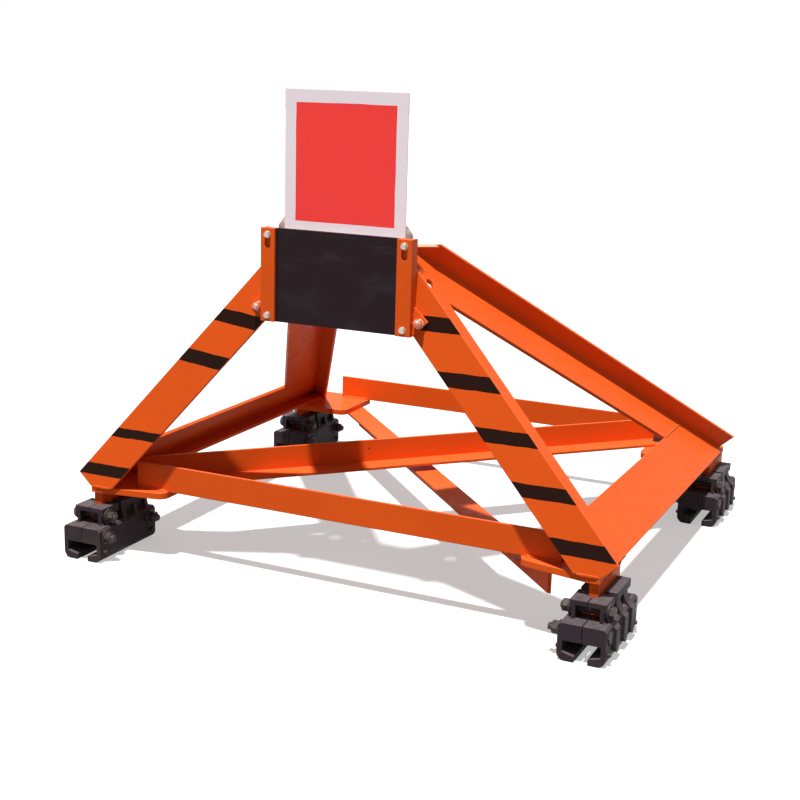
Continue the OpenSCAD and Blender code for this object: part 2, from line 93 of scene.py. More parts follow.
class FinishSettings(bpy.types.PropertyGroup):
    """Colours of the paint, the castings and the board."""

    orange: bpy.props.FloatVectorProperty(
        name="Orange enamel", description="Paint of the welded frame",
        subtype="COLOR", size=4, min=0.0, max=1.0, default=linear("#E0571A"))
    stripe: bpy.props.FloatVectorProperty(
        name="Stripe black", description="Paint of the stripes on the legs",
        subtype="COLOR", size=4, min=0.0, max=1.0, default=linear("#220F09"))
    strike: bpy.props.FloatVectorProperty(
        name="Striking plate", description="Matt black of the striking plate",
        subtype="COLOR", size=4, min=0.0, max=1.0, default=linear("#1E1016"))
    iron: bpy.props.FloatVectorProperty(
        name="Clamp casting", description="Dark coat of the cast clamps",
        subtype="COLOR", size=4, min=0.0, max=1.0, default=linear("#30272C"))
    red: bpy.props.FloatVectorProperty(
        name="Board red", description="Red field of the signal board",
        subtype="COLOR", size=4, min=0.0, max=1.0, default=linear("#FF3F3B"))
    white: bpy.props.FloatVectorProperty(
        name="Board white", description="Border of the signal board",
        subtype="COLOR", size=4, min=0.0, max=1.0, default=linear("#F3E6ED"))
    zinc: bpy.props.FloatVectorProperty(
        name="Zinc", description="Plating of the small bolts and the bracket",
        subtype="COLOR", size=4, min=0.0, max=1.0, default=linear("#CFC4BB"))
    steel: bpy.props.FloatVectorProperty(
        name="Bolt steel", description="Dull steel of the clamp bolts",
        subtype="COLOR", size=4, min=0.0, max=1.0, default=linear("#463E3B"))


class BoltSettings(bpy.types.PropertyGroup):
    """Sizes of the clamp bolts and of the small bolts on the head."""

    clamp_d: bpy.props.FloatProperty(
        name="Clamp bolt", description="Diameter of the clamp bolts",
        default=20 * MM, unit="LENGTH")
    clamp_flats: bpy.props.FloatProperty(
        name="Clamp bolt flats", description="Width across the flats",
        default=30 * MM, unit="LENGTH")
    head_d: bpy.props.FloatProperty(
        name="Head bolt", description="Diameter of the bolts on the head",
        default=10 * MM, unit="LENGTH")
    head_flats: bpy.props.FloatProperty(
        name="Head bolt flats", description="Width across the flats",
        default=15 * MM, unit="LENGTH")
    ear_flats: bpy.props.FloatProperty(
        name="Ear nut flats", description="Width across the flats of the nuts on the ears",
        default=22 * MM, unit="LENGTH")
    screw_d: bpy.props.FloatProperty(
        name="Lip screw", description="Diameter of the set screws in the clamps' lips",
        default=12 * MM, unit="LENGTH")


class WeldSettings(bpy.types.PropertyGroup):
    """Size of the weld beads."""

    leg: bpy.props.FloatProperty(
        name="Bead leg", description="Leg length of a fillet bead",
        default=6 * MM, unit="LENGTH")
    pitch: bpy.props.FloatProperty(
        name="Ripple pitch", description="Distance between two ripples of a bead",
        default=5 * MM, unit="LENGTH")


class StageSettings(bpy.types.PropertyGroup):
    """Camera and lights."""

    place: bpy.props.FloatVectorProperty(
        name="Camera place", description="Camera in the part's frame",
        subtype="TRANSLATION", unit="LENGTH", default=(1.6604, -3.8387, 1.4388))
    yaw: bpy.props.FloatProperty(
        name="Yaw", description="Turn to the left of the track's direction",
        default=0.429, unit="ROTATION")
    pitch: bpy.props.FloatProperty(
        name="Pitch", description="Tilt below the horizon", default=0.240, unit="ROTATION")
    roll: bpy.props.FloatProperty(
        name="Roll", description="Turn about the line of sight", default=0.028, unit="ROTATION")
    lens: bpy.props.FloatProperty(
        name="Lens", description="Focal length", default=62.86, unit="CAMERA")
    sun: bpy.props.FloatProperty(
        name="Key light", description="Strength of the key light", default=5.7)
    fill: bpy.props.FloatProperty(
        name="Fill light", description="Strength of the light from all round", default=0.25)
    light: bpy.props.FloatVectorProperty(
        name="Key light direction", description="Towards the key light",
        subtype="DIRECTION", default=(0.03, -0.57, 1.90))
    light_width: bpy.props.FloatProperty(
        name="Key light width", description="Angle of the key light, which softens its shadows",
        default=math.radians(2.5), unit="ROTATION")


def add(tree, kind, links=None, **settings):
    """Adds one node: settings are attributes, links maps a socket to a value or an output."""
    made = tree.nodes.new(kind)
    for key, value in settings.items():
        setattr(made, key, value)
    for socket, value in (links or {}).items():
        target = made.inputs[socket]
        if isinstance(value, bpy.types.NodeSocket):
            tree.links.new(value, target)
        else:
            target.default_value = value
    return made


def new_material(name):
    """An empty material with a shader and object coordinates."""
    material = bpy.data.materials.new(name)
    material.use_nodes = True
    tree = material.node_tree
    tree.nodes.clear()
    shader = add(tree, "ShaderNodeBsdfPrincipled")
    add(tree, "ShaderNodeOutputMaterial", {"Surface": shader.outputs["BSDF"]})
    coords = add(tree, "ShaderNodeTexCoord")
    return material, tree, shader, coords


def edge_wear_and_highlight(tree, coords, radius, flat, bent, most):
    """Rounds edges by that radius: gives the rounded normal and how far an edge is paled, for wear
    and, on the enamel, a painted highlight.

    The paling grows from 0 to most while the cosine between the rounded and the flat normal falls
    from flat to bent.
    """
    edge = add(tree, "ShaderNodeBevel", {"Radius": radius}, samples=6)
    bend = add(tree, "ShaderNodeVectorMath", {
        0: edge.outputs["Normal"], 1: coords.outputs["Normal"]}, operation="DOT_PRODUCT")
    rub = add(tree, "ShaderNodeMapRange", {
        "Value": bend.outputs["Value"], "From Min": flat, "From Max": bent,
        "To Min": 0.0, "To Max": most})
    return edge.outputs["Normal"], rub.outputs[0]


def seen_directly(tree):
    """1 for a ray from the camera, a mirror or glass, and 0 for a ray that carries light."""
    path = add(tree, "ShaderNodeLightPath")
    mirrored = add(tree, "ShaderNodeMath", {
        0: path.outputs["Is Camera Ray"], 1: path.outputs["Is Glossy Ray"]}, operation="MAXIMUM")
    seen = add(tree, "ShaderNodeMath", {
        0: mirrored.outputs[0], 1: path.outputs["Is Transmission Ray"]}, operation="MAXIMUM")
    return seen.outputs[0]


def enamel(name, colour, bands=None, black=None, tilt=0.0):
    """Sprayed alkyd enamel on mill plate: satin, faintly uneven, thin and paler on edges with a
    painted highlight, a few chips.

    bands is a list of (low, high) heights in metres where the front face is black. The upper
    ones are tilted about the middle of the leg: tilt is their fall for one metre to the right.
    """
    material, tree, shader, coords = new_material(name)
    place = coords.outputs["Object"]
    # Cloudy unevenness of the spray coat, about 250 mm across
    cloud = add(tree, "ShaderNodeTexNoise", {"Vector": place, "Scale": 4.0, "Detail": 5.0})
    tone = add(tree, "ShaderNodeMix", {
        "Factor": cloud.outputs["Fac"],
        "A": dimmed(colour, 0.86), "B": dimmed(colour, 1.10)}, data_type="RGBA")
    tone_out = tone.outputs["Result"]
    if bands:
        # Hand-painted bands of constant height, edges wavering by about 3 mm
        waver = add(tree, "ShaderNodeTexNoise", {"Vector": place, "Scale": 18.0, "Detail": 2.0})
        height = add(tree, "ShaderNodeSeparateXYZ", {"Vector": place})
        shift = add(tree, "ShaderNodeMath", {0: waver.outputs["Fac"], 1: 0.006, 2: -0.003},
                    operation="MULTIPLY_ADD")
        level = add(tree, "ShaderNodeMath", {0: height.outputs["Z"], 1: shift.outputs[0]},
                    operation="ADD")
        if tilt:
            # Distance from the left leg's middle, which runs inward as it rises
            run = add(tree, "ShaderNodeMath", {
                0: height.outputs["Z"], 1: -WEB_RUN, 2: WEB_AT_GROUND}, operation="MULTIPLY_ADD")
            off = add(tree, "ShaderNodeMath", {0: height.outputs["X"], 1: run.outputs[0]},
                      operation="ADD")
            slope = add(tree, "ShaderNodeMapRange", {
                "Value": height.outputs["Z"], "From Min": 0.42, "From Max": 0.56,
                "To Min": 0.0, "To Max": tilt})
            level = add(tree, "ShaderNodeMath", {
                0: off.outputs[0], 1: slope.outputs[0], 2: level.outputs[0]},
                operation="MULTIPLY_ADD")
        ramp = add(tree, "ShaderNodeValToRGB", {"Fac": level.outputs[0]})
        ramp.color_ramp.interpolation = "CONSTANT"
        ramp.color_ramp.elements[0].color = BLACK
        ramp.color_ramp.elements.remove(ramp.color_ramp.elements[1])
        for low, high in bands:
            ramp.color_ramp.elements.new(low).color = WHITE
            ramp.color_ramp.elements.new(high).color = BLACK
        facing = add(tree, "ShaderNodeSeparateXYZ", {"Vector": coords.outputs["Normal"]})
        front = add(tree, "ShaderNodeMath", {0: facing.outputs["Y"], 1: -0.8},
                    operation="LESS_THAN")
        mask = add(tree, "ShaderNodeMath", {0: ramp.outputs["Color"], 1: front.outputs[0]},
                   operation="MULTIPLY")
        striped = add(tree, "ShaderNodeMix", {
            "Factor": mask.outputs[0], "A": tone_out, "B": black}, data_type="RGBA")
        tone_out = striped.outputs["Result"]
    # Road dust lies on faces that look up, in specks of about 45 mm
    facing_up = add(tree, "ShaderNodeSeparateXYZ", {"Vector": coords.outputs["Normal"]})
    up = add(tree, "ShaderNodeMapRange", {
        "Value": facing_up.outputs["Z"], "From Min": 0.55, "From Max": 1.0,
        "To Min": 0.0, "To Max": 0.10})
    grime = add(tree, "ShaderNodeTexNoise", {"Vector": place, "Scale": 22.0, "Detail": 6.0})
    settled = add(tree, "ShaderNodeMath", {0: up.outputs[0], 1: grime.outputs["Fac"]},
                  operation="MULTIPLY")
    dusty = add(tree, "ShaderNodeMix", {
        "Factor": settled.outputs[0], "A": tone_out, "B": linear("#C9A58C")}, data_type="RGBA")
    # Chips of 3 to 6 mm, thinly spread, down to dark primer
    cells = add(tree, "ShaderNodeTexVoronoi", {"Vector": place, "Scale": 26.0})
    chance = add(tree, "ShaderNodeTexNoise", {"Vector": place, "Scale": 9.0, "Detail": 1.0})
    limit = add(tree, "ShaderNodeMapRange", {
        "Value": chance.outputs["Fac"], "From Min": 0.60, "From Max": 0.78,
        "To Min": 0.0, "To Max": 0.14})
    chip = add(tree, "ShaderNodeMath", {0: cells.outputs["Distance"], 1: limit.outputs[0]},
               operation="LESS_THAN")
    chipped = add(tree, "ShaderNodeMix", {
        "Factor": chip.outputs[0], "A": dusty.outputs["Result"], "B": linear("#5A3326")},
        data_type="RGBA")
    # Rolled edges of about 2.5 mm radius, paler in places: the coat thin and rubbed there, and a
    # painted edge highlight
    rounded, thin = edge_wear_and_highlight(tree, coords, 2.5 * MM, 0.97, 0.80, 0.7)
    rub = add(tree, "ShaderNodeMath", {0: thin, 1: grime.outputs["Fac"]}, operation="MULTIPLY")
    edged = add(tree, "ShaderNodeMix", {
        "Factor": rub.outputs[0], "A": chipped.outputs["Result"], "B": linear("#F09A68")},
        data_type="RGBA")
    gloss = add(tree, "ShaderNodeMapRange", {
        "Value": grime.outputs["Fac"], "From Min": 0.3, "From Max": 0.7,
        "To Min": 0.36, "To Max": 0.52})
    # Orange peel of the spray coat, drawn at 6 mm so that it shows
    peel = add(tree, "ShaderNodeTexNoise", {"Vector": place, "Scale": 160.0, "Detail": 2.0})
    bump = add(tree, "ShaderNodeBump", {
        "Height": peel.outputs["Fac"], "Strength": 0.06, "Distance": 2 * MM, "Normal": rounded})
    shader.inputs["IOR"].default_value = 1.5
    shader.inputs["Specular IOR Level"].default_value = 0.06
    tree.links.new(edged.outputs["Result"], shader.inputs["Base Color"])
    tree.links.new(gloss.outputs[0], shader.inputs["Roughness"])
    tree.links.new(bump.outputs["Normal"], shader.inputs["Normal"])
    return material


def casting(name, colour):
    """Sand-cast iron with a thin dark coat: grainy, paler on top (rubbed, and painted top light),
    brown dust.
    """
    material, tree, shader, coords = new_material(name)
    place = coords.outputs["Object"]
    # Brown patches of about 70 mm
    patch = add(tree, "ShaderNodeTexNoise", {"Vector": place, "Scale": 14.0, "Detail": 6.0})
    rust = add(tree, "ShaderNodeMapRange", {
        "Value": patch.outputs["Fac"], "From Min": 0.50, "From Max": 0.72,
        "To Min": 0.0, "To Max": 0.55})
    brown = add(tree, "ShaderNodeMix", {
        "Factor": rust.outputs[0], "A": colour, "B": linear("#4E4036")}, data_type="RGBA")
    facing = add(tree, "ShaderNodeSeparateXYZ", {"Vector": coords.outputs["Normal"]})
    up = add(tree, "ShaderNodeMapRange", {
        "Value": facing.outputs["Z"], "From Min": 0.5, "From Max": 0.95,
        "To Min": 0.0, "To Max": 0.75})
    # Paler specks of about 17 mm on faces that look up: rubbed wear and painted light on the tops
    speck = add(tree, "ShaderNodeTexNoise", {"Vector": place, "Scale": 60.0, "Detail": 4.0})
    rubbed = add(tree, "ShaderNodeMath", {0: up.outputs[0], 1: speck.outputs["Fac"]},
                 operation="MULTIPLY")
    pale = add(tree, "ShaderNodeMix", {
        "Factor": rubbed.outputs[0], "A": brown.outputs["Result"], "B": linear("#766B6D")},
        data_type="RGBA")
    gloss = add(tree, "ShaderNodeMapRange", {
        "Value": patch.outputs["Fac"], "From Min": 0.3, "From Max": 0.7,
        "To Min": 0.46, "To Max": 0.72})
    # Cast edges of about 3 mm radius, rubbed to grey iron here and there
    rounded, thin = edge_wear_and_highlight(tree, coords, 3 * MM, 0.97, 0.80, 0.8)
    rub = add(tree, "ShaderNodeMath", {0: thin, 1: speck.outputs["Fac"]}, operation="MULTIPLY")
    edged = add(tree, "ShaderNodeMix", {
        "Factor": rub.outputs[0], "A": pale.outputs["Result"], "B": linear("#857A7C")},
        data_type="RGBA")
    # Sand grain, drawn at 3 mm so that it shows
    grain = add(tree, "ShaderNodeTexNoise", {"Vector": place, "Scale": 330.0, "Detail": 3.0})
    bump = add(tree, "ShaderNodeBump", {
        "Height": grain.outputs["Fac"], "Strength": 0.35, "Distance": 2 * MM, "Normal": rounded})
    shader.inputs["Specular IOR Level"].default_value = 0.12
    tree.links.new(edged.outputs["Result"], shader.inputs["Base Color"])
    tree.links.new(gloss.outputs[0], shader.inputs["Roughness"])
    tree.links.new(bump.outputs["Normal"], shader.inputs["Normal"])
    return material


def scuffed_black(name, colour, margin, margin_x):
    """Black rubber-modified coat on a steel plate: matt, with pale rubs and scratches.

    Past margin_x on both sides, under the strips, the plate has the frame's paint, margin.
    """
    material, tree, shader, coords = new_material(name)
    place = coords.outputs["Object"]
    # Rubs about 125 mm wide and 70 mm high
    smear = add(tree, "ShaderNodeMapping", {"Vector": place, "Scale": (5.0, 5.0, 9.0)})
    cloud = add(tree, "ShaderNodeTexNoise", {
        "Vector": smear.outputs[0], "Scale": 1.6, "Detail": 7.0})
    rub = add(tree, "ShaderNodeMapRange", {
        "Value": cloud.outputs["Fac"], "From Min": 0.52, "From Max": 0.78,
        "To Min": 0.0, "To Max": 0.20})
    rubbed = add(tree, "ShaderNodeMix", {
        "Factor": rub.outputs[0], "A": colour, "B": linear("#5F5659")}, data_type="RGBA")
    # Slanting scratches about 330 mm long, drawn 6 mm wide so that they show
    line = add(tree, "ShaderNodeMapping", {
        "Vector": place, "Rotation": (0.0, 0.45, 0.0), "Scale": (3.0, 3.0, 160.0)})
    hair = add(tree, "ShaderNodeTexNoise", {"Vector": line.outputs[0], "Scale": 1.0, "Detail": 2.0})
    cut = add(tree, "ShaderNodeMapRange", {
        "Value": hair.outputs["Fac"], "From Min": 0.70, "From Max": 0.76,
        "To Min": 0.0, "To Max": 0.25})
    scratched = add(tree, "ShaderNodeMix", {
        "Factor": cut.outputs[0], "A": rubbed.outputs["Result"], "B": linear("#8A8486")},
        data_type="RGBA")
    gloss = add(tree, "ShaderNodeMapRange", {
        "Value": cloud.outputs["Fac"], "From Min": 0.3, "From Max": 0.7,
        "To Min": 0.55, "To Max": 0.42})
    axes = add(tree, "ShaderNodeSeparateXYZ", {"Vector": place})
    off = add(tree, "ShaderNodeMath", {0: axes.outputs["X"]}, operation="ABSOLUTE")
    past = add(tree, "ShaderNodeMath", {0: off.outputs[0], 1: margin_x},
               operation="GREATER_THAN")
    coated = add(tree, "ShaderNodeMix", {
        "Factor": past.outputs[0], "A": scratched.outputs["Result"], "B": margin},
        data_type="RGBA")
    # Grain of the coat, drawn at 4 mm so that it shows
    grain = add(tree, "ShaderNodeTexNoise", {"Vector": place, "Scale": 240.0, "Detail": 2.0})
    bump = add(tree, "ShaderNodeBump", {
        "Height": grain.outputs["Fac"], "Strength": 0.12, "Distance": 2 * MM})
    shader.inputs["Specular IOR Level"].default_value = 0.12
    tree.links.new(coated.outputs["Result"], shader.inputs["Base Color"])
    tree.links.new(gloss.outputs[0], shader.inputs["Roughness"])
    tree.links.new(bump.outputs["Normal"], shader.inputs["Normal"])
    return material


def zinc_plate(name, colour, overspray=None):
    """Zinc plated steel: metallic, dull, with spangle of about 8 mm and brown specks.

    overspray is the colour of paint mist, which leaves bare zinc in patches of about 12 mm.
    """
    material, tree, shader, coords = new_material(name)
    place = coords.outputs["Object"]
    spangle = add(tree, "ShaderNodeTexVoronoi", {"Vector": place, "Scale": 120.0})
    tone = add(tree, "ShaderNodeMix", {
        "Factor": spangle.outputs["Distance"],
        "A": colour, "B": dimmed(colour, 0.62)}, data_type="RGBA")
    # Brown stains of about 22 mm
    speck = add(tree, "ShaderNodeTexNoise", {"Vector": place, "Scale": 45.0, "Detail": 5.0})
    stain = add(tree, "ShaderNodeMapRange", {
        "Value": speck.outputs["Fac"], "From Min": 0.58, "From Max": 0.75,
        "To Min": 0.0, "To Max": 0.6})
    stained = add(tree, "ShaderNodeMix", {
        "Factor": stain.outputs[0], "A": tone.outputs["Result"], "B": linear("#6B5848")},
        data_type="RGBA")
    finish = stained.outputs["Result"]
    if overspray:
        mist = add(tree, "ShaderNodeTexNoise", {"Vector": place, "Scale": 80.0, "Detail": 3.0})
        cover = add(tree, "ShaderNodeMapRange", {
            "Value": mist.outputs["Fac"], "From Min": 0.42, "From Max": 0.56,
            "To Min": 0.25, "To Max": 0.95})
        misted = add(tree, "ShaderNodeMix", {
            "Factor": cover.outputs[0], "A": finish, "B": overspray}, data_type="RGBA")
        finish = misted.outputs["Result"]
    gloss = add(tree, "ShaderNodeMapRange", {
        "Value": speck.outputs["Fac"], "From Min": 0.3, "From Max": 0.7,
        "To Min": 0.32, "To Max": 0.55})
    shader.inputs["Metallic"].default_value = 0.25 if overspray else 0.85
    tree.links.new(finish, shader.inputs["Base Color"])
    tree.links.new(gloss.outputs[0], shader.inputs["Roughness"])
    return material


def bolt_steel(name, colour):
    """Plain forged bolt steel: half dull, half metallic, browned in patches of 10 to 20 mm."""
    material, tree, shader, coords = new_material(name)
    place = coords.outputs["Object"]
    patch = add(tree, "ShaderNodeTexNoise", {"Vector": place, "Scale": 70.0, "Detail": 5.0})
    brown = add(tree, "ShaderNodeMapRange", {
        "Value": patch.outputs["Fac"], "From Min": 0.42, "From Max": 0.66,
        "To Min": 0.0, "To Max": 0.75})
    tone = add(tree, "ShaderNodeMix", {
        "Factor": brown.outputs[0], "A": colour, "B": linear("#2F2520")}, data_type="RGBA")
    # Rubbed corners of about 1.5 mm radius
    rounded, bright = edge_wear_and_highlight(tree, coords, 1.5 * MM, 0.98, 0.85, 0.45)
    rubbed = add(tree, "ShaderNodeMix", {
        "Factor": bright, "A": tone.outputs["Result"], "B": linear("#8E8680")}, data_type="RGBA")
    gloss = add(tree, "ShaderNodeMapRange", {
        "Value": patch.outputs["Fac"], "From Min": 0.3, "From Max": 0.7,
        "To Min": 0.40, "To Max": 0.68})
    shader.inputs["Metallic"].default_value = 0.35
    shader.inputs["Specular IOR Level"].default_value = 0.25
    tree.links.new(rubbed.outputs["Result"], shader.inputs["Base Color"])
    tree.links.new(gloss.outputs[0], shader.inputs["Roughness"])
    tree.links.new(rounded, shader.inputs["Normal"])
    return material


def signal_sheet(name, white, red, low, high, border):
    """Painted sheet steel: a red field inside a white border, streaked bare grey on the back."""
    material, tree, shader, coords = new_material(name)
    place = coords.outputs["Object"]
    # Masked edge of the red field, wavering by 2 mm over about 110 mm
    waver = add(tree, "ShaderNodeTexNoise", {"Vector": place, "Scale": 9.0, "Detail": 1.0})
    axes = add(tree, "ShaderNodeSeparateXYZ", {"Vector": place})
    shift = add(tree, "ShaderNodeMath", {0: waver.outputs["Fac"], 1: 0.004, 2: -0.002},
                operation="MULTIPLY_ADD")
    field = None
    for axis, first, last in (("X", low[0], high[0]), ("Z", low[2], high[2])):
        middle = (first + last) / 2
        half = (last - first) / 2 - border
        off = add(tree, "ShaderNodeMath", {0: axes.outputs[axis], 1: middle},
                  operation="SUBTRACT")
        size = add(tree, "ShaderNodeMath", {0: off.outputs[0]}, operation="ABSOLUTE")
        moved = add(tree, "ShaderNodeMath", {0: size.outputs[0], 1: shift.outputs[0]},
                    operation="ADD")
        inside = add(tree, "ShaderNodeMath", {0: moved.outputs[0], 1: half},
                     operation="LESS_THAN")
        if field is None:
            field = inside.outputs[0]
        else:
            both = add(tree, "ShaderNodeMath", {0: field, 1: inside.outputs[0]},
                       operation="MULTIPLY")
            field = both.outputs[0]
    # Both paints fade in clouds of about 170 mm
    fade = add(tree, "ShaderNodeTexNoise", {"Vector": place, "Scale": 6.0, "Detail": 4.0})
    reds = add(tree, "ShaderNodeMix", {
        "Factor": fade.outputs["Fac"], "A": red, "B": dimmed(red, 0.88)}, data_type="RGBA")
    whites = add(tree, "ShaderNodeMix", {
        "Factor": fade.outputs["Fac"], "A": white, "B": dimmed(white, 0.93)}, data_type="RGBA")
    painted = add(tree, "ShaderNodeMix", {
        "Factor": field, "A": whites.outputs["Result"], "B": reds.outputs["Result"]},
        data_type="RGBA")
    facing = add(tree, "ShaderNodeSeparateXYZ", {"Vector": coords.outputs["Normal"]})
    behind = add(tree, "ShaderNodeMath", {0: facing.outputs["Y"], 1: 0.5},
                 operation="GREATER_THAN")
    # Mill grey back with water streaks about 40 mm wide that run down the sheet
    run = add(tree, "ShaderNodeMapping", {"Vector": place, "Scale": (25.0, 25.0, 3.0)})
    streak = add(tree, "ShaderNodeTexNoise", {
        "Vector": run.outputs[0], "Scale": 1.0, "Detail": 5.0})
    spread = add(tree, "ShaderNodeMapRange", {
        "Value": streak.outputs["Fac"], "From Min": 0.35, "From Max": 0.68})
    bare = add(tree, "ShaderNodeMix", {
        "Factor": spread.outputs[0], "A": linear("#ADABA9"), "B": linear("#827D79")},
        data_type="RGBA")
    sheet = add(tree, "ShaderNodeMix", {
        "Factor": behind.outputs[0], "A": painted.outputs["Result"], "B": bare.outputs["Result"]},
        data_type="RGBA")
    gloss = add(tree, "ShaderNodeMapRange", {
        "Value": fade.outputs["Fac"], "From Min": 0.3, "From Max": 0.7,
        "To Min": 0.38, "To Max": 0.48})
    shader.inputs["Specular IOR Level"].default_value = 0.30
    tree.links.new(sheet.outputs["Result"], shader.inputs["Base Color"])
    tree.links.new(gloss.outputs[0], shader.inputs["Roughness"])
    return material


def skin(rings, first, last):
    """Closed surface through rings of points, with a pole before the first and after the last.

    Quads join ring to ring, column by column, and fans join the poles to the end rings.
    """
    rows, columns = rings.shape[:2]
    row, column = np.meshgrid(np.arange(rows - 1), np.arange(columns), indexing="ij")
    after = (column + 1) % columns
    quads = np.stack([
        row * columns + column, row * columns + after,
        (row + 1) * columns + after, (row + 1) * columns + column], axis=-1)
    edge = np.arange(columns)
    wrap = (edge + 1) % columns
    top = (rows - 1) * columns
    pole = np.full(columns, rows * columns)
    fans = np.concatenate([
        np.stack([pole, wrap, edge], axis=-1),
        np.stack([top + edge, top + wrap, pole + 1], axis=-1)])
    points = np.concatenate([rings.reshape(-1, 3), [first], [last]])
    return points, quads.reshape(-1, 4), fans


def turned(profile, flats=None, steps=48):
    """A profile of (radius, height) carried round the axis; flats limits it to a hexagon.

    Hexagon: radius is half the flats over the cosine of the angle from the nearest flat.
    """
    profile = np.asarray(profile, float)
    angle = np.arange(steps) * 2.0 * np.pi / steps
    radius = np.repeat(profile[:, :1], steps, axis=1)
    if flats is not None:
        side = (angle + np.pi / 6.0) % (np.pi / 3.0) - np.pi / 6.0
        radius = np.minimum(radius, flats / 2.0 / np.cos(side)[None, :])
    rings = np.stack([
        radius * np.cos(angle), radius * np.sin(angle),
        np.repeat(profile[:, 1:], steps, axis=1)], axis=-1)
    return skin(rings, (0.0, 0.0, profile[0, 1]), (0.0, 0.0, profile[-1, 1]))


def threaded(radius, start, length, pitch, steps=32):
    """A threaded end: the radius falls by a triangle wave of height along a helix, then a cone."""
    rows = int(length / pitch * 8) + 1
    height = np.linspace(start, start + length, rows)
    angle = np.arange(steps) * 2.0 * np.pi / steps
    phase = (height[:, None] / pitch - angle[None, :] / (2.0 * np.pi)) % 1.0
    depth = 0.6 * pitch * (1.0 - np.abs(2.0 * phase - 1.0))
    top = start + length + 0.5 * pitch
    height = np.append(height, top)
    radius = np.concatenate([radius - depth, np.full((1, steps), radius - 0.9 * pitch)])
    rings = np.stack([
        radius * np.cos(angle), radius * np.sin(angle),
        np.repeat(height[:, None], steps, axis=1)], axis=-1)
    return skin(rings, (0.0, 0.0, start), (0.0, 0.0, top))


def joined(parts):
    """Several closed surfaces put in one list of points, one of quads and one of fans."""
    count = np.cumsum([0] + [len(points) for points, _, _ in parts])
    points = np.concatenate([points for points, _, _ in parts])
    quads = np.concatenate([quads + c for (_, quads, _), c in zip(parts, count)])
    fans = np.concatenate([fans + c for (_, _, fans), c in zip(parts, count)])
    return points, quads, fans


def placed(part, origin, along, across):
    """Turns a part so that its height runs along one direction and moves it to origin."""
    points, quads, fans = part
    along = np.asarray(along, float) / np.linalg.norm(along)
    across = np.asarray(across, float)
    across = across - along * np.dot(across, along)
    across = across / np.linalg.norm(across)
    third = np.cross(along, across)
    turn = np.stack([across, third, along])
    return points @ turn + np.asarray(origin, float), quads, fans


def make_piece(name, part, material, smooth_deg=35.0):
    """Puts a closed surface into a mesh at the origin, shaded smooth but for sharp edges."""
    points, quads, fans = part
    mesh = bpy.data.meshes.new(name)
    mesh.from_pydata(points.tolist(), [], quads.tolist() + fans.tolist())
    if mesh.validate():
        raise RuntimeError(name + " has faces that Blender had to mend")
    mesh.update()
    mesh.shade_smooth()
    mesh.set_sharp_from_angle(angle=math.radians(smooth_deg))
    piece = bpy.data.objects.new(name, mesh)
    bpy.context.scene.collection.objects.link(piece)
    mesh.materials.append(material)
    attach(piece, "root")
    return piece


def hexagon(flats, thick, base):
    """A hexagon with a washer face below and a conical chamfer that rounds its upper corners.

    The cone falls by the tangent of 30 degrees from the inscribed circle to the corners.
    """
    corner = flats / 2.0 / math.cos(math.pi / 6.0)
    rim = flats / 2.0 * 0.96
    radius = np.linspace(corner, rim, 5)
    height = base + thick - (radius - rim) * math.tan(math.pi / 6.0)
    foot = 0.6 * MM
    profile = [(flats * 0.47, base), (flats * 0.47, base + foot), (corner, base + foot)]
    return turned(profile + list(zip(radius, height)), flats)


def washer(radius, thick, base):
    """A flat disc with a rounded rim: a quarter circle of radius a third of its thickness."""
    edge = thick / 3.0
    t = np.linspace(0.0, np.pi / 2.0, 4)
    low = np.stack([radius - edge + edge * np.sin(t), base + edge - edge * np.cos(t)], axis=-1)
    high = np.stack([
        radius - edge + edge * np.cos(t), base + thick - edge + edge * np.sin(t)], axis=-1)
    return turned(np.concatenate([low, high]))


def dome(radius, rise, base):
    """A low cap: height falls with the square of the distance from the axis."""
    r = np.linspace(1.0, 0.08, 8)
    return turned(np.stack([radius * r, base + rise * (1.0 - r * r)], axis=-1))


def nut_end(d, flats, nut, tail, disc, wash):
    """Washer, nut and the threaded end past it, from height 0 up."""
    return joined([
        washer(disc, wash, 0.0),
        hexagon(flats, nut, wash),
        threaded(d / 2, wash + nut * 0.8, nut * 0.2 + tail - 1.5 * MM, 3 * MM),
    ])


def shank(d, length, base=0.0):
    """Plain bolt shank of that length along its axis, from base up."""
    return turned([(d / 2, base), (d / 2, base + length)])


def bead(start, end, wall_a, wall_b, leg, pitch, seed):
    """Weld bead from start to end in the corner between two walls.

    The section runs from the corner out along wall_a, round a bulge and back along wall_b.
    Its size swells by 8% once per pitch, with ripples that bow forward in the middle, drifts
    by up to 12% and shrinks to a sixth at both ends.
    """
    start, end = np.asarray(start, float), np.asarray(end, float)
    wall_a, wall_b = np.asarray(wall_a, float), np.asarray(wall_b, float)
    length = np.linalg.norm(end - start)
    rows = max(int(length / (pitch / 4.0)), 8)
    s = np.linspace(0.0, 1.0, rows)
    t = np.linspace(0.0, 1.0, 7)
    rng = np.random.default_rng(seed)
    drift = np.interp(s, np.linspace(0.0, 1.0, 12), rng.uniform(0.88, 1.12, 12))
    taper = np.clip(np.minimum(s, 1.0 - s) * length / (2.0 * leg), 0.03, 1.0) ** 0.5
    wave = 2.0 * np.pi * (s[:, None] * length / pitch + 0.5 * (2.0 * t[None, :] - 1.0) ** 2)
    size = leg * (drift * taper)[:, None] * (1.0 + 0.08 * np.sin(wave))
    bulge = 0.30 * 4.0 * t * (1.0 - t)
    weight_a = (1.0 - t) + bulge * 0.5
    weight_b = t + bulge * 0.5
    corner = start + s[:, None] * (end - start)
    body = (corner[:, None, :] + (size * weight_a)[:, :, None] * wall_a
            + (size * weight_b)[:, :, None] * wall_b)
    sink = corner[:, None, :] - 0.3 * MM * (wall_a + wall_b)
    rings = np.concatenate([body, sink], axis=1)
    if np.dot(np.cross(wall_a, wall_b), end - start) < 0.0:
        rings = rings[:, ::-1]
    return skin(rings, start, end)


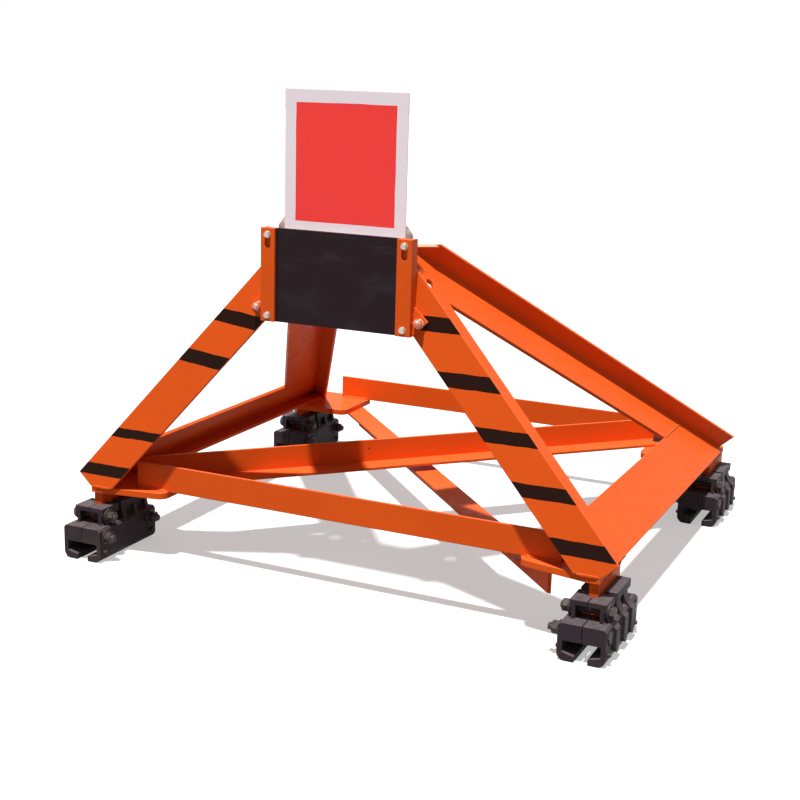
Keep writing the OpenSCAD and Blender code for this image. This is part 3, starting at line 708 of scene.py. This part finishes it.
def jaw_middle(corner):
    """Middle of the gap between a clamp's two jaws, and the clamp's front and rear ends."""
    outer = np.array(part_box(corner + "_outer_jaw"))
    inner = np.array(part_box(corner + "_inner_jaw"))
    x = (max(outer[0, 0], inner[0, 0]) + min(outer[1, 0], inner[1, 0])) / 2.0
    return x, outer[0, 1], outer[1, 1]


class BUFFER_OT_paint_frame(bpy.types.Operator):
    """Paints the welded frame, the head, the clamps and the signal board"""

    bl_idname = "buffer_stop.paint_frame"
    bl_label = "Paint Frame"

    # Heights of the stripes on each leg, in metres above the ground
    bands = {
        "left": [(0.235, 0.270), (0.356, 0.386), (0.594, 0.629), (0.715, 0.753)],
        "right": [
            (0.243, 0.284), (0.374, 0.407), (0.499, 0.532), (0.625, 0.663), (0.760, 0.798)],
    }
    # Fall of the upper stripes for one metre to the right
    tilts = {"left": 0.1, "right": 0.0}
    # Width of the board's white border
    border = 32 * MM

    def execute(self, context):
        finish = context.scene.buffer_finish
        orange = tuple(finish.orange)
        plain = enamel("orange_alkyd_enamel", orange)
        coats = {"orange_paint": plain}
        coats["clamp_iron"] = casting("coated_cast_iron", tuple(finish.iron))
        strip = np.array(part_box("right_cheek")[0])
        coats["black_paint"] = scuffed_black(
            "scuffed_black_coat", tuple(finish.strike), orange, float(strip[0]) + 1 * MM)
        coats["zinc"] = zinc_plate("zinc_plated_steel", tuple(finish.zinc))
        bolt_steel("dull_bolt_steel", tuple(finish.steel))
        low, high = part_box("sign_board")
        coats["white_sheet"] = signal_sheet(
            "signal_sheet_paint", tuple(finish.white), tuple(finish.red), low, high, self.border)
        striped = {
            side + "_leg": enamel(
                "striped_enamel_" + side, orange, spans, tuple(finish.stripe), self.tilts[side])
            for side, spans in self.bands.items()
        }
        for entry in frame["record"]["subparts"]:
            piece = frame["nodes"][entry["node"]]
            coat = striped.get(entry["node"], coats[entry["material_slot"]])
            piece.data.materials.clear()
            piece.data.materials.append(coat)
        return {"FINISHED"}


class BUFFER_OT_clamp_bolts(bpy.types.Operator):
    """Makes the clamps' through-bolts with washers, nuts and threads"""

    bl_idname = "buffer_stop.clamp_bolts"
    bl_label = "Clamp Bolts"

    def execute(self, context):
        bolts = context.scene.buffer_bolts
        steel = bpy.data.materials["dull_bolt_steel"]
        iron = bpy.data.materials["coated_cast_iron"]
        flats = bolts.clamp_flats
        head = hexagon(flats, 13 * MM, 0.0)
        rim = 22 * MM
        wash = 4 * MM
        long_end = nut_end(bolts.clamp_d, flats, 18 * MM, 11 * MM, rim - 1 * MM, wash)
        short_end = nut_end(bolts.clamp_d, flats, 16 * MM, 5 * MM, rim - 4 * MM, wash)
        # Seats of the bolts' two ends, measured out from the middle of the gap between the jaws
        head_seat = 54 * MM
        nut_seat = 63 * MM
        upper_seat = 51.5 * MM
        # The upper bolt's place, measured from the clamp's front end
        upper_y = 62 * MM
        for corner, side in CORNERS.items():
            low, high = (np.array(c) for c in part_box(corner + "_bolts"))
            centre, front, _ = jaw_middle(corner)
            # Place along the track, height, the seats of the head and of the washer, and the end
            spots = [
                (low[1] + rim, low[2] + rim, head_seat, nut_seat, long_end),
                (high[1] - rim, low[2] + rim, head_seat, nut_seat, long_end),
                (front + upper_y, high[2] - rim, upper_seat, upper_seat, short_end),
            ]
            parts, rods = [], []
            out = np.array([side, 0.0, 0.0])
            for number, (y, z, seat, grip, end) in enumerate(spots):
                turn = np.array([0.0, math.cos(0.4 + number), math.sin(0.4 + number)])
                at = np.array([centre, y, z])
                parts.append(placed(head, at + out * seat, out, UP))
                parts.append(placed(end, at - out * grip, -out, turn))
                rod = shank(bolts.clamp_d, seat + grip)
                rods.append(placed(rod, at - out * grip, out, turn))
            piece = make_piece(corner + "_bolt_set", joined(parts), steel)
            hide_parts(corner + "_bolts")
            # The shanks take the darker casting coat, not the bolt steel: painted shade inside the
            # clamps' windows
            make_piece(corner + "_bolt_rods", joined(rods), iron)
        return {"FINISHED"}


class BUFFER_OT_lip_screws(bpy.types.Operator):
    """Makes the set screws low in the flanks of the clamps"""

    bl_idname = "buffer_stop.lip_screws"
    bl_label = "Lip Screws"

    def execute(self, context):
        r = context.scene.buffer_bolts.screw_d / 2.0
        steel = bpy.data.materials["dull_bolt_steel"]
        socket = r * 0.55
        tip = 8.2 * MM
        # Profile: out along the rod, a small chamfer, then a flat-bottomed socket
        screw = turned([
            (r, -4 * MM), (r, 7 * MM), (r - 1.2 * MM, tip), (socket, tip), (socket, 5 * MM)])
        # Out from the clamp's middle, in from its ends and up from the ground
        flank = 63 * MM
        inset = 20 * MM
        height = 30 * MM
        parts = []
        for corner in CORNERS:
            centre, front, rear = jaw_middle(corner)
            for out in (-1.0, 1.0):
                for y in (front + inset, rear - inset):
                    spot = (centre + out * flank, y, height)
                    parts.append(placed(screw, spot, (out, 0.0, 0.0), UP))
        make_piece("lip_screw_set", joined(parts), steel)
        return {"FINISHED"}


class BUFFER_OT_head_bolts(bpy.types.Operator):
    """Makes the small bolts that hold the strips of the head"""

    bl_idname = "buffer_stop.head_bolts"
    bl_label = "Head Bolts"

    def execute(self, context):
        bolts = context.scene.buffer_bolts
        zinc = bpy.data.materials["zinc_plated_steel"]
        flats = bolts.head_flats
        wash = 2 * MM
        thick = 6.5 * MM
        bolt = joined([
            washer(9.5 * MM, wash, 0.0),
            hexagon(flats, thick, wash),
            dome(flats * 0.46, 1.2 * MM, wash + thick - 0.1 * MM),
            shank(bolts.head_d, 8 * MM, -8 * MM),
        ])
        plate = np.array(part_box("strike_plate"))
        strip = np.array(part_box("right_cheek"))
        # In from the plate's sides and from its lower and upper edges
        side_inset = 13 * MM
        end_inset = 17 * MM
        parts = []
        for sign in SIDES:
            x = sign * (plate[1, 0] - side_inset)
            for number, z in enumerate((plate[0, 2] + end_inset, plate[1, 2] - end_inset)):
                turn = (math.cos(0.7 * number + sign), 0.0, math.sin(0.7 * number + sign))
                parts.append(placed(bolt, (x, strip[0, 1], z), (0.0, -1.0, 0.0), turn))
        make_piece("head_bolt_set", joined(parts), zinc)
        return {"FINISHED"}


class BUFFER_OT_frame_nuts(bpy.types.Operator):
    """Makes the nuts on the head's ears, behind the board and at the upper brace's rear end"""

    bl_idname = "buffer_stop.frame_nuts"
    bl_label = "Frame Nuts"

    def execute(self, context):
        bolts = context.scene.buffer_bolts
        zinc = bpy.data.materials["zinc_plated_steel"]
        steel = bpy.data.materials["dull_bolt_steel"]
        finish = context.scene.buffer_finish
        misted = zinc_plate("oversprayed_zinc", tuple(finish.zinc), tuple(finish.orange))
        leg = np.array(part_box("right_leg"))
        ear = np.array(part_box("right_cheek"))
        # The ears lie on the legs' front and look the same way
        lean = np.array([0.0, -1.0, FRONT_LEAN]) / math.hypot(1.0, FRONT_LEAN)
        ear_thick = 8 * MM
        ear_inset = 23 * MM
        z = ear[0, 2] + 34 * MM
        foot = np.array([0.0, leg[0, 1] + FRONT_LEAN * (z - leg[0, 2]), z]) + ear_thick * lean
        nut = nut_end(16 * MM, bolts.ear_flats, 13 * MM, 7 * MM, 13.5 * MM, 3 * MM)
        parts = []
        for number, sign in enumerate(SIDES):
            x = sign * (ear[1, 0] - ear_inset)
            turn = (math.cos(0.5 + number), 0.0, math.sin(0.5 + number))
            parts.append(placed(nut, foot + np.array([x, 0.0, 0.0]), lean, turn))
        make_piece("ear_nut_set", joined(parts), misted)
        bracket = np.array(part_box("sign_bracket"))
        small = nut_end(10 * MM, 17 * MM, 8 * MM, 5 * MM, 10.5 * MM, 2 * MM)
        row = bracket[1, 2] - 20 * MM
        parts = []
        for number, x in enumerate((-130 * MM, -45 * MM, 45 * MM, 130 * MM)):
            turn = (math.cos(number), 0.0, math.sin(number))
            parts.append(placed(small, (x, bracket[1, 1], row), (0.0, 1.0, 0.0), turn))
        make_piece("bracket_nut_set", joined(parts), zinc)
        brace = np.array(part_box("upper_brace"))
        end = nut_end(20 * MM, 30 * MM, 16 * MM, 6 * MM, 18.5 * MM, 3 * MM)
        # On the brace's flat leaf, in from its rear right corner
        place = (brace[1, 0] - 80 * MM, brace[1, 1] - 33 * MM, brace[0, 2] + 8 * MM)
        make_piece("brace_nut", placed(end, place, UP, (1.0, 0.4, 0.0)), steel)
        return {"FINISHED"}


class BUFFER_OT_weld_beads(bpy.types.Operator):
    """Makes the weld beads of the frame"""

    bl_idname = "buffer_stop.weld_beads"
    bl_label = "Weld Beads"

    def execute(self, context):
        weld = context.scene.buffer_welds
        paint = bpy.data.materials["orange_alkyd_enamel"]
        leg = np.array(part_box("right_leg"))
        chord = np.array(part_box("right_chord"))
        tie = np.array(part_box("front_tie"))
        back_tie = np.array(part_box("rear_tie"))
        top = leg[0, 2]
        under = np.array(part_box("front_right_plate"))[0, 2]
        # Up along the right web, which leans inward, and out of its outer face
        up = np.array([-math.sin(WEB_LEAN), 0.0, math.cos(WEB_LEAN)])
        out = np.array([math.cos(WEB_LEAN), 0.0, math.sin(WEB_LEAN)])
        root = np.array([772 * MM, leg[0, 1], top])
        bar_half = 12.5 * MM
        # Each run: start, end, the two walls and the bead's size
        runs = []
        for front, name in ((True, "front"), (False, "rear")):
            plate = np.array(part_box(name + "_right_plate"))
            bar = np.array(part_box(name + "_right_tee"))
            first = bar[0, 1] + 2 * MM
            last = min(bar[1, 1], plate[1, 1]) - 2 * MM
            x = (bar[0, 0] + bar[1, 0]) / 2.0
            for face in (-1.0, 1.0):
                edge = x + face * bar_half
                runs.append(((edge, first, under), (edge, last, under),
                             (face, 0.0, 0.0), (0.0, 0.0, -1.0), 1.0))
            # The chord's lower flange ends 73 mm inside the web, on the plate
            flange = root[0] - 73 * MM
            first = max(plate[0, 1], chord[0, 1] + 6 * MM) + 4 * MM
            last = min(plate[1, 1], chord[1, 1] - 16 * MM) - 4 * MM
            runs.append(((flange, first, top), (flange, last, top),
                         (-1.0, 0.0, 0.0), (0.0, 0.0, 1.0), 1.0))
            line = tie if front else back_tie
            first = plate[0, 0] + 6 * MM
            last = line[1, 0] - 3 * MM
            runs.append(((first, line[0, 1], top), (last, line[0, 1], top),
                         (0.0, -1.0, 0.0), (0.0, 0.0, 1.0), 0.9))
        # Flat run along the foot of the leg's front
        runs.append(((706 * MM, leg[0, 1], top), (766 * MM, leg[0, 1], top),
                     (0.0, -0.45, 0.9), (0.0, -0.45, -0.9), 0.9))
        # Flat run where the stay meets the chord on the web's outer face
        seam = root + 155 * MM * up + 5 * MM * out
        runs.append((seam + (0.0, 968 * MM, 0.0), seam + (0.0, 1176 * MM, 0.0),
                     0.32 * out + 0.5 * up, 0.32 * out - 0.5 * up, 0.8))
        mirror = np.array([-1.0, 1.0, 1.0])
        parts = []
        flips = (np.ones(3), mirror)
        for number, (*places, scale) in enumerate(runs):
            for side, flip in enumerate(flips):
                start, end, wall_a, wall_b = (np.array(place) * flip for place in places)
                parts.append(bead(
                    start, end, wall_a, wall_b, weld.leg * scale, weld.pitch, 2 * number + side))
        make_piece("weld_bead_set", joined(parts), paint, 60.0)
        # Fill under the overhanging top edge of the stays' flanges, painted pale: rubbed paint and
        # a painted highlight.
        # The right flange's edge runs from the inner end, first, to the outer end, last.
        stay = np.array(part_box("right_stay"))
        first = np.array([26.8 * MM, -510.4 * MM, stay[1, 2]])
        last = np.array([187.2 * MM, -389.6 * MM, stay[1, 2]])
        ahead = (last - first) / np.linalg.norm(last - first)
        face = np.array([ahead[1], -ahead[0], 0.0])
        # The bead's corner lies 5 mm behind the edge and 6 mm below it
        inset = -5 * MM * face - 6 * MM * UP
        parts = [
            bead((first + 4 * MM * ahead + inset) * flip, (last + 3 * MM * ahead + inset) * flip,
                 face * flip, UP * flip, 9 * MM, weld.pitch, 60 + number)
            for number, flip in enumerate(flips)
        ]
        # Pale enamel: rubbed paint, and a painted highlight along the crown's top edge
        pale = enamel("rubbed_and_highlight_pale_enamel", linear("#F0B49C"))
        make_piece("crown_bead_set", joined(parts), pale, 60.0)
        return {"FINISHED"}


class BUFFER_OT_stage(bpy.types.Operator):
    """Sets the floor, the lights and the camera"""

    bl_idname = "buffer_stop.stage"
    bl_label = "Stage"

    def execute(self, context):
        setting = context.scene.buffer_stage
        half = 30.0
        corners = half * np.array([[-1, -1, 0], [1, -1, 0], [1, 1, 0], [-1, 1, 0]])
        mesh = bpy.data.meshes.new("floor")
        mesh.from_pydata(corners.tolist(), [], [[0, 1, 2, 3]])
        floor = bpy.data.objects.new("floor", mesh)
        context.scene.collection.objects.link(floor)
        material = bpy.data.materials.new("pale_floor")
        material.use_nodes = True
        tree = material.node_tree
        tree.nodes.clear()
        glow = add(tree, "ShaderNodeEmission", {"Color": WHITE, "Strength": 1.0})
        seen = seen_directly(tree)
        # Pale to the eye, but it throws back no more light than grey ground
        tone = add(tree, "ShaderNodeMix", {
            "Factor": seen, "A": linear("#7C7A78"), "B": linear("#F4F3F2")}, data_type="RGBA")
        chalk = add(tree, "ShaderNodeBsdfDiffuse", {"Color": tone.outputs["Result"]})
        # Under half of what is seen is glow, so the floor keeps the part's shadow
        share = add(tree, "ShaderNodeMath", {0: seen, 1: 0.45}, operation="MULTIPLY")
        mixed = add(tree, "ShaderNodeMixShader", {
            0: share.outputs[0], 1: chalk.outputs[0], 2: glow.outputs[0]})
        add(tree, "ShaderNodeOutputMaterial", {"Surface": mixed.outputs[0]})
        mesh.materials.append(material)
        world = bpy.data.worlds.new("studio")
        context.scene.world = world
        world.use_nodes = True
        tree = world.node_tree
        tree.nodes.clear()
        soft = add(tree, "ShaderNodeBackground", {"Color": WHITE, "Strength": setting.fill})
        white = add(tree, "ShaderNodeBackground", {"Color": WHITE, "Strength": 1.0})
        mixed = add(tree, "ShaderNodeMixShader", {
            0: seen_directly(tree), 1: soft.outputs[0], 2: white.outputs[0]})
        add(tree, "ShaderNodeOutputWorld", {"Surface": mixed.outputs[0]})
        lamp = bpy.data.lights.new("key", "SUN")
        lamp.energy = setting.sun
        lamp.angle = setting.light_width
        key = bpy.data.objects.new("key", lamp)
        key.rotation_euler = Vector(setting.light).to_track_quat("Z", "Y").to_euler()
        context.scene.collection.objects.link(key)
        view = bpy.data.cameras.new("camera")
        view.lens = setting.lens
        view.sensor_width = 36.0
        view.clip_end = 200.0
        camera = bpy.data.objects.new("camera", view)
        yaw, pitch, roll = setting.yaw, setting.pitch, setting.roll
        ahead = Vector((
            -math.sin(yaw) * math.cos(pitch), math.cos(yaw) * math.cos(pitch), -math.sin(pitch)))
        right = Vector((math.cos(yaw), math.sin(yaw), 0.0))
        up = right.cross(ahead)
        level_right = right * math.cos(roll) + up * math.sin(roll)
        level_up = up * math.cos(roll) - right * math.sin(roll)
        turn = Matrix((level_right, level_up, -ahead)).transposed().to_4x4()
        camera.matrix_world = Matrix.Translation(Vector(setting.place)) @ turn
        context.scene.collection.objects.link(camera)
        context.scene.camera = camera
        context.scene.view_settings.view_transform = "Standard"
        return {"FINISHED"}


class BUFFER_PT_panel(bpy.types.Panel):
    """Lists the steps that dress the buffer stop"""

    bl_label = "Buffer Stop"
    bl_idname = "BUFFER_PT_panel"
    bl_space_type = "VIEW_3D"
    bl_region_type = "UI"
    bl_category = "Buffer Stop"

    def draw(self, context):
        for step in STEPS:
            self.layout.operator(step.bl_idname)
        for group in GROUPS:
            settings = getattr(context.scene, group)
            box = self.layout.box()
            for key in settings.bl_rna.properties.keys():
                if key not in ("rna_type", "name"):
                    box.prop(settings, key)


STEPS = (
    BUFFER_OT_stage,
    BUFFER_OT_paint_frame,
    BUFFER_OT_clamp_bolts,
    BUFFER_OT_lip_screws,
    BUFFER_OT_head_bolts,
    BUFFER_OT_frame_nuts,
    BUFFER_OT_weld_beads,
)
GROUPS = {
    "buffer_finish": FinishSettings,
    "buffer_bolts": BoltSettings,
    "buffer_welds": WeldSettings,
    "buffer_stage": StageSettings,
}


def register():
    for group, kind in GROUPS.items():
        bpy.utils.register_class(kind)
        setattr(bpy.types.Scene, group, bpy.props.PointerProperty(type=kind))
    for kind in STEPS + (BUFFER_PT_panel,):
        bpy.utils.register_class(kind)


def unregister():
    for kind in reversed(STEPS + (BUFFER_PT_panel,)):
        bpy.utils.unregister_class(kind)
    for group, kind in reversed(GROUPS.items()):
        delattr(bpy.types.Scene, group)
        bpy.utils.unregister_class(kind)


def main():
    register()
    bpy.ops.buffer_stop.stage()
    bpy.ops.buffer_stop.paint_frame()
    bpy.ops.buffer_stop.clamp_bolts()
    bpy.ops.buffer_stop.lip_screws()
    bpy.ops.buffer_stop.head_bolts()
    bpy.ops.buffer_stop.frame_nuts()
    bpy.ops.buffer_stop.weld_beads()


if __name__ == "__main__":
    main()
